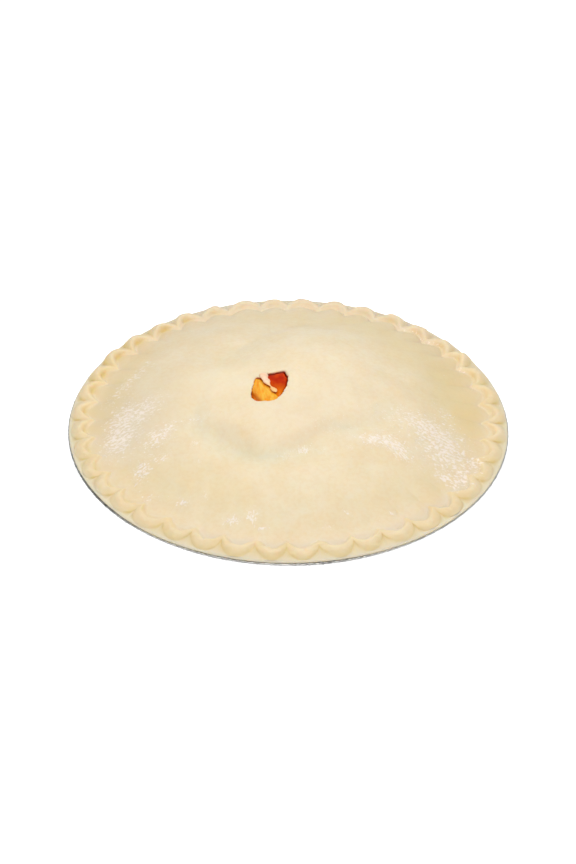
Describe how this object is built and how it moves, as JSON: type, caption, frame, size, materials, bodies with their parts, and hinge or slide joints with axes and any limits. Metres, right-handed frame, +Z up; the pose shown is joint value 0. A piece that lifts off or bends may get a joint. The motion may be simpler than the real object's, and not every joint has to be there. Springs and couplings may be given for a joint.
{
  "type": "peach pie",
  "caption": "Unbaked round double-crust pie with a crimped edge and a torn steam vent over peach filling, ready to bake in its shallow foil tin.",
  "frame": {"origin": "middle of the tin's flat underside, on the surface that the pie stands on", "axes": "+Z up, -Y towards the front of the pie, +X to the right"},
  "size_m": [0.244, 0.244, 0.0554],
  "materials": {
    "foil": "bright crinkled foil",
    "raw_dough": "soft pale raw dough, dusted with flour in patches",
    "peach_syrup": "wet glossy peach slices in clear syrup"
  },
  "bodies": {
    "root": {"pie_tin": "foil", "pastry": "raw_dough", "peach_filling": "peach_syrup"}
  },
  "joints": []
}
